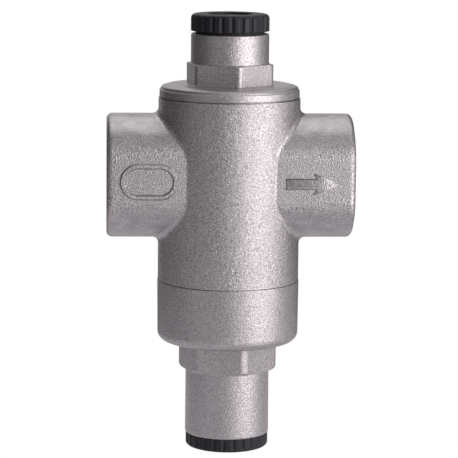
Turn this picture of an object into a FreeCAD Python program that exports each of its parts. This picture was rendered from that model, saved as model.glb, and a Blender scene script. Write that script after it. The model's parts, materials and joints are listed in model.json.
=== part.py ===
"""Piston-type water pressure reducing valve with two female G1/2 ports, as an assembly of separate pieces.

Units are millimetres. The origin is the centre of the inlet port's end face. +X is the direction of flow,
+Z runs up the spindle axis towards the gauge plug. Heights (z) are counted from the axis of the ports, and
radii from the axis that a piece is turned about.
"""
import FreeCAD, Part
import Sketcher
import math
import os

X_AXIS = FreeCAD.Vector(1, 0, 0)
Z_AXIS = FreeCAD.Vector(0, 0, 1)

SIZES = {
    # ports: G1/2 parallel threads, drawn at their minor diameter
    "port_reach": 26.3,
    "port_radius": 13.3,
    "port_flat": 12.0,
    "port_flat_round": 6.0,
    "port_rim": 1.25,
    "port_bore_radius": 9.3155,
    "port_bore_depth": 12.0,
    "port_mouth_radius": 10.55,
    "port_mouth_depth": 1.2,
    "passage_radius": 3.4,
    "passage_height": 4.5,
    # body barrel and the bores along the spindle axis
    "barrel_radius": 15.2,
    "barrel_top": 16.75,
    "barrel_bottom": -22.55,
    "barrel_blend": 1.35,
    "bonnet_thread_radius": 12.05,
    "bonnet_groove_radius": 13.6,
    "bonnet_groove_floor": 15.15,
    "upper_chamber_radius": 10.5,
    "upper_chamber_top": 9.0,
    "partition_top": 1.0,
    "partition_bottom": -1.6,
    "seat_hole_radius": 6.6,
    "cylinder_radius": 11.0,
    "cylinder_bottom": -16.0,
    "housing_thread_radius": 12.5,
    "housing_groove_radius": 14.0,
    "housing_groove_floor": -21.0,
    # raised marks on the ports
    "mark_relief": 0.35,
    "mark_root": 11.5,
    "mark_bevel": 0.3,
    "badge_centre": -17.35,
    "badge_half_length": 6.15,
    "badge_half_height": 3.85,
    "badge_line": 1.15,
    "arrow_level": -0.4,
    "arrow_tail": 11.45,
    "arrow_neck": 17.8,
    "arrow_barb": 17.1,
    "arrow_tip": 23.1,
    "arrow_shaft_half": 1.2,
    "arrow_head_half": 2.4,
    # bonnet
    "flange_radius": 15.0,
    "flange_gap_radius": 14.4,
    "flange_gap_height": 16.95,
    "flange_crease": 18.5,
    "flange_top_radius": 13.9,
    "flange_round": 1.3,
    "flange_top": 19.6,
    "spigot_radius": 12.0,
    "bonnet_hex_flats": 17.0,
    "bonnet_hex_corner": 9.62,
    "bonnet_hex_turn": 9.5,
    "bonnet_hex_top": 24.05,
    "hex_bevel": 0.5,
    "collar_radius": 8.35,
    "collar_top": 30.45,
    "collar_round": 0.3,
    "gauge_bore_radius": 5.7235,
    "gauge_bore_floor": 20.5,
    "balance_bore_radius": 4.5,
    "balance_bore_top": 19.0,
    "tapping_radius": 1.5,
    # gauge plug
    "plug_radius": 8.4,
    "plug_bottom": 31.0,
    "plug_top": 34.65,
    "plug_round": 1.0,
    "plug_spigot_radius": 5.7,
    "plug_spigot_end": 22.5,
    "plug_seal_radius": 7.35,
    "plug_seal_hole": 5.75,
    "plug_rib_top": 34.1,
    "grip_half": 2.3,
    "grip_reach": 5.2,
    "grip_drop": 0.45,
    "plug_groove_half": 0.28,
    "plug_groove_depth": 0.35,
    "recess_radius": 4.7,
    "recess_depth": 1.7,
    # spring housing
    "cup_top_radius": 15.3,
    "cup_low_radius": 15.2,
    "cup_gap_radius": 14.7,
    "cup_top": -22.65,
    "cup_bottom": -35.9,
    "cup_round": 1.95,
    "housing_hex_flats": 19.0,
    "housing_hex_corner": 10.62,
    "housing_hex_turn": 17.0,
    "housing_hex_bottom": -42.1,
    "neck_radius": 9.03,
    "neck_end_radius": 9.1,
    "neck_end": -56.45,
    "neck_bore_radius": 7.0,
    "spring_room_radius": 11.2,
    "spring_room_low": -33.3,
    "spring_room_cone": -37.5,
    "housing_spigot_radius": 12.45,
    # piston, with its stem
    "piston_radius": 10.93,
    "piston_top": -8.2,
    "piston_bottom": -14.2,
    "piston_groove_radius": 9.4,
    "piston_groove_top": -9.7,
    "piston_groove_low": -11.5,
    "guide_groove_radius": 10.1,
    "guide_groove_top": -12.4,
    "guide_groove_low": -13.6,
    "spring_seat_radius": 7.1,
    "spring_top": -12.0,
    "stem_radius": 3.2,
    "stem_shoulder": 5.1,
    "stem_tail_radius": 2.6,
    "stem_top": 15.8,
    "sensing_radius": 1.0,
    "sensing_floor": -5.0,
    "sensing_port": -3.8,
    "guide_ring_radius": 10.96,
    "cut_clear": 1.0,
    "cut_far": 20.0,
    # shutter
    "gasket_radius": 6.6,
    "gasket_top": 6.9,
    "holder_radius": 7.6,
    "holder_bottom": 5.3,
    "holder_top": 8.9,
    "guide_radius": 4.45,
    "guide_top": 15.4,
    "guide_waist": 3.4,
    "guide_waist_low": 12.2,
    "guide_waist_top": 13.8,
    # seat
    "seat_flange_radius": 8.2,
    "seat_flange_top": 2.2,
    "seat_bore_radius": 5.2,
    "seat_lip_radius": 5.8,
    "seat_lip_top": 2.85,
    "seat_waist": 6.0,
    "seat_waist_low": -1.0,
    "seat_waist_top": 0.2,
    # spring and its adjuster
    "wire_radius": 1.0,
    "coil_radius": 5.6,
    "coil_pitch": 4.3,
    "spring_bottom": -44.0,
    "plate_radius": 6.85,
    "plate_boss_radius": 4.4,
    "plate_boss_top": -42.2,
    "plate_bottom": -45.4,
    "washer_radius": 6.3,
    "washer_hole": 2.0,
    "washer_bottom": -46.2,
    "screw_radius": 6.95,
    "screw_bottom": -51.6,
    "screw_bevel": 0.5,
    "socket_flats": 8.0,
    "socket_depth": 4.4,
    # adjuster cap
    "cap_radius": 8.96,
    "cap_bottom": -59.3,
    "cap_round": 0.7,
    "cap_spigot_radius": 6.94,
    "cap_spigot_end": -52.3,
    "cap_waist": 5.7,
    "cap_waist_low": -55.8,
    "cap_waist_top": -54.4,
    "cap_rib_end": -58.5,
    "cap_groove_half": 0.19,
    "cap_groove_depth": 0.3,
    "press_ease": 0.03,
    "seal_ease": 0.04,
}

PLUG_RIBS = 24
CAP_RIBS = 26

doc = FreeCAD.newDocument("pressure_reducing_valve")
sheet = doc.addObject("Spreadsheet::Sheet", "Sizes")
for row, (alias, value) in enumerate(SIZES.items(), start=1):
    sheet.set("A%d" % row, alias)
    sheet.set("B%d" % row, str(value))
    sheet.setAlias("B%d" % row, alias)
doc.recompute()

parts = []


def amount(text):
    """The number that a sum of sheet names and plain numbers comes to."""
    total = 0.0
    sign = 1.0
    for word in text.split():
        if word == "+":
            sign = 1.0
        elif word == "-":
            sign = -1.0
        else:
            total += sign * (SIZES[word] if word in SIZES else float(word))
            sign = 1.0
    return total


def formula(text):
    """The same sum as an expression on the sheet's cells."""
    return " ".join("<<Sizes>>." + word if word in SIZES else word for word in text.split())


def sub_part(thing, label):
    """Name a finished object as a sub-part and stand it on the spindle axis."""
    thing.Label = label
    thing.Placement = FreeCAD.Placement(FreeCAD.Vector(SIZES["port_reach"], 0, 0), FreeCAD.Rotation())
    thing.setExpression("Placement.Base.x", formula("port_reach"))
    parts.append(thing)
    return thing


def new_body(name):
    return doc.addObject("PartDesign::Body", name)


def new_sketch(body, name, role, height="", turn=""):
    """A sketch on one of the body's own planes, raised along the plane's normal and turned about it."""
    sketch = body.newObject("Sketcher::SketchObject", name)
    plane = next(item for item in body.Origin.OriginFeatures if item.Role == role)
    sketch.AttachmentSupport = (plane, [""])
    sketch.MapMode = "FlatFace"
    if height or turn:
        lift = FreeCAD.Vector(0, 0, amount(height) if height else 0)
        spin = FreeCAD.Rotation(Z_AXIS, amount(turn) if turn else 0)
        sketch.AttachmentOffset = FreeCAD.Placement(lift, spin)
        if height:
            sketch.setExpression("AttachmentOffset.Base.z", formula(height))
        if turn:
            sketch.setExpression("AttachmentOffset.Rotation.Angle", formula(turn))
    return sketch


def place_point(sketch, line, across, along):
    """Tie a line's start point to the sheet: across is its x in the sketch, along its y."""
    for kind, text, axis in (("DistanceX", across, -2), ("DistanceY", along, -1)):
        if text == "0":
            sketch.addConstraint(Sketcher.Constraint("PointOnObject", line, 1, axis))
        else:
            tie = sketch.addConstraint(Sketcher.Constraint(kind, -1, 1, line, 1, amount(text)))
            sketch.setExpression("Constraints[%d]" % tie, formula(text))


def polygon(sketch, corners):
    """A closed outline of straight lines through corners, each given as two sums of sheet names."""
    first = sketch.GeometryCount
    spots = [FreeCAD.Vector(amount(across), amount(along), 0) for across, along in corners]
    for start, end in zip(spots, spots[1:] + spots[:1]):
        sketch.addGeometry(Part.LineSegment(start, end), False)
    count = len(corners)
    for step, (across, along) in enumerate(corners):
        line = first + step
        following = first + (step + 1) % count
        sketch.addConstraint(Sketcher.Constraint("Coincident", line, 2, following, 1))
        place_point(sketch, line, across, along)


def hexagon(sketch, flats):
    """A regular hexagon about the sketch's origin with one corner on its vertical axis."""
    first = sketch.GeometryCount
    corner = SIZES[flats] / math.sqrt(3)
    angles = [math.radians(90 + 60 * step) for step in range(6)]
    spots = [FreeCAD.Vector(corner * math.cos(a), corner * math.sin(a), 0) for a in angles]
    for start, end in zip(spots, spots[1:] + spots[:1]):
        sketch.addGeometry(Part.LineSegment(start, end), False)
    ring = sketch.addGeometry(Part.Circle(FreeCAD.Vector(), Z_AXIS, corner), True)
    sketch.addConstraint(Sketcher.Constraint("Coincident", ring, 3, -1, 1))
    radius = sketch.addConstraint(Sketcher.Constraint("Radius", ring, corner))
    sketch.setExpression("Constraints[%d]" % radius, "<<Sizes>>.%s / sqrt(3)" % flats)
    for step in range(6):
        line = first + step
        sketch.addConstraint(Sketcher.Constraint("Coincident", line, 2, first + (step + 1) % 6, 1))
        sketch.addConstraint(Sketcher.Constraint("PointOnObject", line, 1, ring))
        if step:
            sketch.addConstraint(Sketcher.Constraint("Equal", first, line))
    sketch.addConstraint(Sketcher.Constraint("PointOnObject", first, 1, -2))


def circle(sketch, radius, across="0", along="0"):
    """A circle whose radius and centre are tied to the sheet."""
    centre = FreeCAD.Vector(amount(across), amount(along), 0)
    ring = sketch.addGeometry(Part.Circle(centre, Z_AXIS, amount(radius)), False)
    size = sketch.addConstraint(Sketcher.Constraint("Radius", ring, amount(radius)))
    sketch.setExpression("Constraints[%d]" % size, formula(radius))
    for kind, text, axis in (("DistanceX", across, -2), ("DistanceY", along, -1)):
        if text == "0":
            sketch.addConstraint(Sketcher.Constraint("PointOnObject", ring, 3, axis))
        else:
            tie = sketch.addConstraint(Sketcher.Constraint(kind, -1, 1, ring, 3, amount(text)))
            sketch.setExpression("Constraints[%d]" % tie, formula(text))


def turned(body, name, corners, kind="Revolution", axis="V_Axis"):
    """Turn an outline (radius, height) a full turn, to add material or, as a Groove, to take it away."""
    sketch = new_sketch(body, name + "_outline", "XZ_Plane")
    polygon(sketch, corners)
    doc.recompute()
    turn = body.newObject("PartDesign::" + kind, name)
    turn.Profile = sketch
    turn.ReferenceAxis = (sketch, [axis])
    turn.Angle = 360
    doc.recompute()
    return turn


def cut(body, name, sketch, depth="", opposite=False):
    """Pocket a sketch into the body, through everything if it has no depth, and see that it cut."""
    before = body.Shape.Volume
    pocket = body.newObject("PartDesign::Pocket", name)
    pocket.Profile = sketch
    pocket.Reversed = opposite
    if depth:
        pocket.Length = amount(depth)
        pocket.setExpression("Length", formula(depth))
    else:
        pocket.Type = "ThroughAll"
    doc.recompute()
    if body.Shape.Volume > before - 0.01:
        raise RuntimeError("%s cut nothing from %s" % (name, body.Name))
    return pocket


def around(body, name, feature, count):
    """Repeat a feature evenly about the body's Z axis."""
    pattern = body.newObject("PartDesign::PolarPattern", name)
    pattern.Originals = [feature]
    pattern.Axis = (next(i for i in body.Origin.OriginFeatures if i.Role == "Z_Axis"), [""])
    pattern.Angle = 360
    pattern.Occurrences = count
    body.Tip = pattern
    doc.recompute()
    return pattern


def rounded(body, name, radius, wanted):
    """Fillet the edges of the body's last feature that wanted picks out."""
    base = body.Tip
    names = ["Edge%d" % (n + 1) for n, edge in enumerate(base.Shape.Edges) if wanted(edge)]
    if not names:
        raise RuntimeError("%s found no edge" % name)
    fillet = body.newObject("PartDesign::Fillet", name)
    fillet.Base = (base, names)
    fillet.Radius = amount(radius)
    fillet.setExpression("Radius", formula(radius))
    doc.recompute()
    return fillet


def is_ring(edge, radius, height):
    """Whether an edge is a circle about the spindle axis with this radius at this height."""
    curve = edge.Curve
    if not isinstance(curve, Part.Circle) or abs(abs(curve.Axis.z) - 1) > 1e-6:
        return False
    return abs(curve.Radius - amount(radius)) < 1e-4 and abs(curve.Center.z - amount(height)) < 1e-4


def torus(label, inner, outer, low, top):
    """A seal ring of round section that fills a groove but for a little ease."""
    ring = doc.addObject("Part::Torus", label)
    section = min(amount(outer) - amount(inner), amount(top) - amount(low)) / 2 - SIZES["seal_ease"]
    ring.Radius2 = section
    ring.Radius1 = (amount(outer) + amount(inner)) / 2
    half = "min((%s) - (%s); (%s) - (%s)) / 2 - <<Sizes>>.seal_ease"
    ring.setExpression("Radius2", half % tuple(formula(text) for text in (outer, inner, top, low)))
    ring.setExpression("Radius1", "(%s + %s) / 2" % (formula(outer), formula(inner)))
    sub_part(ring, label)
    ring.setExpression("Placement.Base.z", "(%s + %s) / 2" % (formula(top), formula(low)))
    return ring


def plain_ring(label, corners):
    """A washer-like piece turned from one outline."""
    body = new_body(label)
    turned(body, label + "_turned", corners)
    return sub_part(body, label)


def obround(sketch, half_length, half_height, centre):
    """A slot-shaped outline along the sketch's horizontal axis."""
    first = sketch.GeometryCount
    radius = amount(half_height)
    reach = amount(half_length) - radius
    middle = amount(centre)
    left = FreeCAD.Vector(middle - reach, 0, 0)
    right = FreeCAD.Vector(middle + reach, 0, 0)
    rise = FreeCAD.Vector(0, radius, 0)
    quarter = math.pi / 2
    sketch.addGeometry(Part.LineSegment(left - rise, right - rise), False)
    sketch.addGeometry(Part.ArcOfCircle(Part.Circle(right, Z_AXIS, radius), -quarter, quarter), False)
    sketch.addGeometry(Part.LineSegment(right + rise, left + rise), False)
    sketch.addGeometry(Part.ArcOfCircle(Part.Circle(left, Z_AXIS, radius), quarter, 3 * quarter), False)
    for step in range(4):
        following = first + (step + 1) % 4
        sketch.addConstraint(Sketcher.Constraint("Tangent", first + step, 2, following, 1))
    sketch.addConstraint(Sketcher.Constraint("Equal", first + 1, first + 3))
    size = sketch.addConstraint(Sketcher.Constraint("Radius", first + 1, radius))
    sketch.setExpression("Constraints[%d]" % size, formula(half_height))
    for arc, side, sign in ((first + 1, right, "+"), (first + 3, left, "-")):
        sketch.addConstraint(Sketcher.Constraint("PointOnObject", arc, 3, -1))
        tie = sketch.addConstraint(Sketcher.Constraint("DistanceX", -1, 1, arc, 3, side.x))
        reach_text = "%s ((%s) - (%s))" % (sign, formula(half_length), formula(half_height))
        sketch.setExpression("Constraints[%d]" % tie, formula(centre) + " " + reach_text)


def flattened_circle(sketch, radius, flat, rounding):
    """A circle about the sketch's origin with a flat on its left and right, run into it by tangent arcs."""
    large, reach, small = amount(radius), amount(flat), amount(rounding)
    middle = reach - small
    rise = math.sqrt((large - small) ** 2 - middle ** 2)
    turn = math.atan2(rise, middle)
    first = sketch.GeometryCount
    origin = FreeCAD.Vector()
    right_angle = math.pi / 2

    def arc(centre, size, start, end):
        sketch.addGeometry(Part.ArcOfCircle(Part.Circle(centre, Z_AXIS, size), start, end), False)

    def upright(across, start, end):
        ends = FreeCAD.Vector(across, start, 0), FreeCAD.Vector(across, end, 0)
        sketch.addGeometry(Part.LineSegment(*ends), False)

    # anticlockwise from the lower end of the right flat
    upright(reach, -rise, rise)
    arc(FreeCAD.Vector(middle, rise, 0), small, 0, turn)
    arc(origin, large, turn, 2 * right_angle - turn)
    arc(FreeCAD.Vector(-middle, rise, 0), small, 2 * right_angle - turn, 2 * right_angle)
    upright(-reach, rise, -rise)
    arc(FreeCAD.Vector(-middle, -rise, 0), small, 2 * right_angle, 2 * right_angle + turn)
    arc(origin, large, 2 * right_angle + turn, 4 * right_angle - turn)
    arc(FreeCAD.Vector(middle, -rise, 0), small, -turn, 0)
    for step in range(8):
        sketch.addConstraint(Sketcher.Constraint("Tangent", first + step, 2, first + (step + 1) % 8, 1))
    for piece in (first + 2, first + 6):
        sketch.addConstraint(Sketcher.Constraint("Coincident", piece, 3, -1, 1))
    size = sketch.addConstraint(Sketcher.Constraint("Radius", first + 2, large))
    sketch.setExpression("Constraints[%d]" % size, formula(radius))
    for piece in (first + 1, first + 3, first + 5, first + 7):
        size = sketch.addConstraint(Sketcher.Constraint("Radius", piece, small))
        sketch.setExpression("Constraints[%d]" % size, formula(rounding))
    for piece, sign in ((first, ""), (first + 4, "-")):
        side = -reach if sign else reach
        place = sketch.addConstraint(Sketcher.Constraint("DistanceX", -1, 1, piece, 1, side))
        sketch.setExpression("Constraints[%d]" % place, sign + formula(flat))


# --- body -----------------------------------------------------------------------------------------------

def make_body():
    """The forged body: a barrel crossed by the two ports, with its bores, passages and raised marks."""
    body = new_body("valve_body")
    turned(body, "barrel", [
        ("0", "barrel_bottom"),
        ("barrel_radius", "barrel_bottom"),
        ("barrel_radius", "barrel_top"),
        ("0", "barrel_top"),
    ])
    sketch = new_sketch(body, "ports_outline", "YZ_Plane")
    flattened_circle(sketch, "port_radius", "port_flat", "port_flat_round")
    ports = body.newObject("PartDesign::Pad", "ports")
    ports.Profile = sketch
    ports.SideType = "Symmetric"
    ports.Length = 2 * SIZES["port_reach"]
    ports.setExpression("Length", "2 * " + formula("port_reach"))
    doc.recompute()

    def at_port_face(edge):
        return all(abs(abs(spot.X) - SIZES["port_reach"]) < 1e-4 for spot in edge.Vertexes)

    def on_the_crossing(edge):
        first, last = edge.ParameterRange
        spot = edge.valueAt((first + last) / 2)
        on_barrel = abs(math.hypot(spot.x, spot.y) - SIZES["barrel_radius"]) < 1e-3
        return on_barrel and abs(spot.z) < SIZES["port_radius"] - 1e-3

    rounded(body, "port_rims", "port_rim", at_port_face)
    rounded(body, "port_blends", "barrel_blend", on_the_crossing)
    add_marks(body)
    turned(body, "spindle_bores", [
        ("0", "barrel_bottom - cut_clear"),
        ("housing_groove_radius", "barrel_bottom - cut_clear"),
        ("housing_groove_radius", "housing_groove_floor"),
        ("housing_thread_radius", "housing_groove_floor"),
        ("housing_thread_radius", "cylinder_bottom"),
        ("cylinder_radius", "cylinder_bottom"),
        ("cylinder_radius", "partition_bottom"),
        ("seat_hole_radius", "partition_bottom"),
        ("seat_hole_radius", "partition_top"),
        ("upper_chamber_radius", "partition_top"),
        ("upper_chamber_radius", "upper_chamber_top"),
        ("bonnet_thread_radius", "upper_chamber_top"),
        ("bonnet_thread_radius", "bonnet_groove_floor"),
        ("bonnet_groove_radius", "bonnet_groove_floor"),
        ("bonnet_groove_radius", "barrel_top + cut_clear"),
        ("0", "barrel_top + cut_clear"),
    ], kind="Groove")
    add_port_bore(body, "inlet", "-")
    add_port_bore(body, "outlet", "")
    for name, level, opposite in (("inlet", "passage_height", False), ("outlet", "- passage_height", True)):
        sketch = new_sketch(body, name + "_passage_outline", "YZ_Plane")
        circle(sketch, "passage_radius", "0", level)
        cut(body, name + "_passage", sketch, "cut_far", opposite)
    return sub_part(body, "valve_body")


def add_marks(body):
    """A flow arrow on the front of the outlet port and a blank badge outline on the inlet port."""
    sketch = new_sketch(body, "marks_outline", "XZ_Plane", height="mark_root")
    polygon(sketch, [
        ("arrow_tail", "arrow_level - arrow_shaft_half"),
        ("arrow_neck", "arrow_level - arrow_shaft_half"),
        ("arrow_barb", "arrow_level - arrow_head_half"),
        ("arrow_tip", "arrow_level"),
        ("arrow_barb", "arrow_level + arrow_head_half"),
        ("arrow_neck", "arrow_level + arrow_shaft_half"),
        ("arrow_tail", "arrow_level + arrow_shaft_half"),
    ])
    obround(sketch, "badge_half_length", "badge_half_height", "badge_centre")
    obround(sketch, "badge_half_length - badge_line", "badge_half_height - badge_line", "badge_centre")
    marks = body.newObject("PartDesign::Pad", "marks")
    marks.Profile = sketch
    marks.Length = amount("port_flat + mark_relief - mark_root")
    marks.setExpression("Length", formula("port_flat + mark_relief - mark_root"))
    doc.recompute()
    crown = amount("port_flat + mark_relief")
    tops = ["Edge%d" % (n + 1) for n, edge in enumerate(marks.Shape.Edges)
            if all(abs(spot.Y + crown) < 1e-4 for spot in edge.Vertexes)]
    bevel = body.newObject("PartDesign::Chamfer", "marks_bevel")
    bevel.Base = (marks, tops)
    bevel.Size = SIZES["mark_bevel"]
    bevel.setExpression("Size", formula("mark_bevel"))
    doc.recompute()


def add_port_bore(body, name, side):
    """The threaded bore of one port, with its chamfered mouth."""
    turned(body, name + "_bore", [
        (side + " port_reach", "0"),
        (side + " port_reach", "port_mouth_radius"),
        (side + " port_reach " + ("+" if side else "-") + " port_mouth_depth", "port_bore_radius"),
        (side + " port_reach " + ("+" if side else "-") + " port_bore_depth", "port_bore_radius"),
        (side + " port_reach " + ("+" if side else "-") + " port_bore_depth", "0"),
    ], kind="Groove", axis="H_Axis")


# --- seat -----------------------------------------------------------------------------------------------

def make_seat():
    """The seat ring pressed into the partition, and the seal in its waist."""
    plain_ring("seat_ring", [
        ("seat_bore_radius", "partition_bottom"),
        ("seat_hole_radius - press_ease", "partition_bottom"),
        ("seat_hole_radius - press_ease", "seat_waist_low"),
        ("seat_waist", "seat_waist_low"),
        ("seat_waist", "seat_waist_top"),
        ("seat_hole_radius - press_ease", "seat_waist_top"),
        ("seat_hole_radius - press_ease", "partition_top"),
        ("seat_flange_radius", "partition_top"),
        ("seat_flange_radius", "seat_flange_top"),
        ("seat_lip_radius", "seat_flange_top"),
        ("seat_lip_radius", "seat_lip_top"),
        ("seat_bore_radius", "seat_lip_top"),
    ])
    torus("seat_seal", "seat_waist", "seat_hole_radius", "seat_waist_low", "seat_waist_top")


# --- bonnet and gauge plug ------------------------------------------------------------------------------

def hex_flats(body, name, flats, top, bottom, turn):
    """Mill six flats on a round blank between two heights."""
    sketch = new_sketch(body, name + "_outline", "XY_Plane", height=top, turn=turn)
    circle(sketch, "barrel_radius")
    hexagon(sketch, flats)
    cut(body, name, sketch, "%s - %s" % (top, bottom))


def make_bonnet():
    """The bonnet: threaded spigot with the balancing bore, flange, hexagon and gauge collar."""
    body = new_body("bonnet")
    turned(body, "bonnet_blank", [
        ("balance_bore_radius", "upper_chamber_top"),
        ("spigot_radius", "upper_chamber_top"),
        ("spigot_radius", "barrel_top"),
        ("flange_gap_radius", "barrel_top"),
        ("flange_gap_radius", "flange_gap_height"),
        ("flange_radius", "flange_gap_height"),
        ("flange_radius", "flange_crease"),
        ("flange_top_radius", "flange_top"),
        ("bonnet_hex_corner", "flange_top"),
        ("bonnet_hex_corner", "bonnet_hex_top - hex_bevel"),
        ("bonnet_hex_corner - hex_bevel", "bonnet_hex_top"),
        ("collar_radius", "bonnet_hex_top"),
        ("collar_radius", "collar_top"),
        ("gauge_bore_radius", "collar_top"),
        ("gauge_bore_radius", "gauge_bore_floor"),
        ("tapping_radius", "gauge_bore_floor"),
        ("tapping_radius", "balance_bore_top"),
        ("balance_bore_radius", "balance_bore_top"),
    ])
    rounded(body, "collar_edge", "collar_round", lambda edge: is_ring(edge, "collar_radius", "collar_top"))
    rounded(body, "flange_edge", "flange_round",
            lambda edge: is_ring(edge, "flange_top_radius", "flange_top"))
    hex_flats(body, "bonnet_flats", "bonnet_hex_flats", "bonnet_hex_top", "flange_top", "bonnet_hex_turn")
    sub_part(body, "bonnet")
    torus("bonnet_seal", "spigot_radius", "bonnet_groove_radius", "bonnet_groove_floor", "barrel_top")


def make_gauge_plug():
    """The ribbed plug that closes the gauge port, with the flat seal under its skirt."""
    body = new_body("gauge_plug")
    turned(body, "plug_blank", [
        ("0", "plug_spigot_end"),
        ("plug_spigot_radius", "plug_spigot_end"),
        ("plug_spigot_radius", "plug_bottom"),
        ("plug_radius", "plug_bottom"),
        ("plug_radius", "plug_top"),
        ("recess_radius", "plug_top"),
        ("recess_radius", "plug_top - recess_depth"),
        ("0", "plug_top - recess_depth"),
    ])
    rounded(body, "plug_edge", "plug_round", lambda edge: is_ring(edge, "plug_radius", "plug_top"))
    sketch = new_sketch(body, "plug_groove_outline", "XY_Plane", height="plug_rib_top")
    grip_groove(sketch, "plug_radius", "plug_groove_half", "plug_groove_depth")
    groove = cut(body, "plug_groove", sketch, "plug_rib_top - plug_bottom")
    around(body, "plug_grooves", groove, PLUG_RIBS)
    add_grip(body)
    sub_part(body, "gauge_plug")
    plain_ring("gauge_plug_seal", [
        ("plug_seal_hole", "collar_top"),
        ("plug_seal_radius", "collar_top"),
        ("plug_seal_radius", "plug_bottom"),
        ("plug_seal_hole", "plug_bottom"),
    ])


def add_grip(body):
    """The bar across the plug's recess, a little below its rim."""
    sketch = new_sketch(body, "grip_outline", "XY_Plane", height="plug_top - grip_drop")
    polygon(sketch, [
        ("- grip_half", "- grip_reach"),
        ("grip_half", "- grip_reach"),
        ("grip_half", "grip_reach"),
        ("- grip_half", "grip_reach"),
    ])
    bar = body.newObject("PartDesign::Pad", "grip_bar")
    bar.Profile = sketch
    bar.Reversed = True
    bar.Length = amount("recess_depth")
    bar.setExpression("Length", formula("recess_depth"))
    doc.recompute()


def grip_groove(sketch, radius, half_width, depth):
    """A narrow rectangle across the rim of a ribbed cap."""
    polygon(sketch, [
        ("%s - %s" % (radius, depth), "- " + half_width),
        (radius + " + cut_clear", "- " + half_width),
        (radius + " + cut_clear", half_width),
        ("%s - %s" % (radius, depth), half_width),
    ])


# --- spring housing and adjuster ------------------------------------------------------------------------

def make_housing():
    """The spring housing: threaded spigot, cup, hexagon and the neck that the adjuster screws through."""
    body = new_body("spring_housing")
    turned(body, "housing_blank", [
        ("spring_room_radius", "cylinder_bottom"),
        ("housing_spigot_radius", "cylinder_bottom"),
        ("housing_spigot_radius", "barrel_bottom"),
        ("cup_gap_radius", "barrel_bottom"),
        ("cup_gap_radius", "cup_top"),
        ("cup_top_radius", "cup_top"),
        ("cup_low_radius", "cup_bottom"),
        ("housing_hex_corner", "cup_bottom"),
        ("housing_hex_corner", "housing_hex_bottom + hex_bevel"),
        ("housing_hex_corner - hex_bevel", "housing_hex_bottom"),
        ("neck_radius", "housing_hex_bottom"),
        ("neck_end_radius", "neck_end"),
        ("neck_bore_radius", "neck_end"),
        ("neck_bore_radius", "spring_room_cone"),
        ("spring_room_radius", "spring_room_low"),
    ])
    rounded(body, "cup_edge", "cup_round", lambda edge: is_ring(edge, "cup_low_radius", "cup_bottom"))
    hex_flats(body, "housing_flats", "housing_hex_flats", "cup_bottom", "housing_hex_bottom",
              "housing_hex_turn")
    sub_part(body, "spring_housing")
    torus("housing_seal", "housing_spigot_radius", "housing_groove_radius", "barrel_bottom",
          "housing_groove_floor")


def make_spring():
    """The set spring: one helix of round wire, cut off flat at both ends."""
    wire = SIZES["wire_radius"]
    mean = SIZES["coil_radius"]
    length = SIZES["spring_top"] - SIZES["spring_bottom"]
    run = length + 2 * wire
    path = Part.Wire(Part.makeLongHelix(SIZES["coil_pitch"], run, mean).Edges)
    section = Part.Wire(Part.makeCircle(wire, FreeCAD.Vector(mean, 0, 0), FreeCAD.Vector(0, 1, 0)))
    coil = path.makePipeShell([section], True, True)
    coil.translate(FreeCAD.Vector(0, 0, -wire))
    slab = Part.makeCylinder(mean + 2 * wire, length)
    spring = doc.addObject("Part::Feature", "spring")
    spring.Shape = coil.common(slab)
    sub_part(spring, "spring")
    spring.Placement.Base.z = SIZES["spring_bottom"]
    spring.setExpression("Placement.Base.z", formula("spring_bottom"))


def make_adjuster():
    """Spring plate, thrust washer and the screw that sets the outlet pressure."""
    plain_ring("spring_plate", [
        ("0", "plate_bottom"),
        ("plate_radius", "plate_bottom"),
        ("plate_radius", "spring_bottom"),
        ("plate_boss_radius", "spring_bottom"),
        ("plate_boss_radius", "plate_boss_top"),
        ("0", "plate_boss_top"),
    ])
    plain_ring("thrust_washer", [
        ("washer_hole", "washer_bottom"),
        ("washer_radius", "washer_bottom"),
        ("washer_radius", "plate_bottom"),
        ("washer_hole", "plate_bottom"),
    ])
    body = new_body("adjusting_screw")
    turned(body, "screw_blank", [
        ("0", "screw_bottom"),
        ("screw_radius - screw_bevel", "screw_bottom"),
        ("screw_radius", "screw_bottom + screw_bevel"),
        ("screw_radius", "washer_bottom - screw_bevel"),
        ("screw_radius - screw_bevel", "washer_bottom"),
        ("0", "washer_bottom"),
    ])
    sketch = new_sketch(body, "socket_outline", "XY_Plane", height="screw_bottom")
    hexagon(sketch, "socket_flats")
    cut(body, "socket", sketch, "socket_depth", opposite=True)
    sub_part(body, "adjusting_screw")


def make_adjuster_cap():
    """The ribbed cap that screws into the neck over the adjuster, with the ring in its waist."""
    body = new_body("adjuster_cap")
    turned(body, "cap_blank", [
        ("0", "cap_bottom"),
        ("cap_radius", "cap_bottom"),
        ("cap_radius", "neck_end"),
        ("cap_spigot_radius", "neck_end"),
        ("cap_spigot_radius", "cap_waist_low"),
        ("cap_waist", "cap_waist_low"),
        ("cap_waist", "cap_waist_top"),
        ("cap_spigot_radius", "cap_waist_top"),
        ("cap_spigot_radius", "cap_spigot_end"),
        ("0", "cap_spigot_end"),
    ])
    rounded(body, "cap_edge", "cap_round", lambda edge: is_ring(edge, "cap_radius", "cap_bottom"))
    sketch = new_sketch(body, "cap_groove_outline", "XY_Plane", height="neck_end")
    grip_groove(sketch, "cap_radius", "cap_groove_half", "cap_groove_depth")
    groove = cut(body, "cap_groove", sketch, "neck_end - cap_rib_end")
    around(body, "cap_grooves", groove, CAP_RIBS)
    sub_part(body, "adjuster_cap")
    torus("adjuster_cap_seal", "cap_waist", "neck_bore_radius", "cap_waist_low", "cap_waist_top")


# --- piston group ---------------------------------------------------------------------------------------

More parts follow.
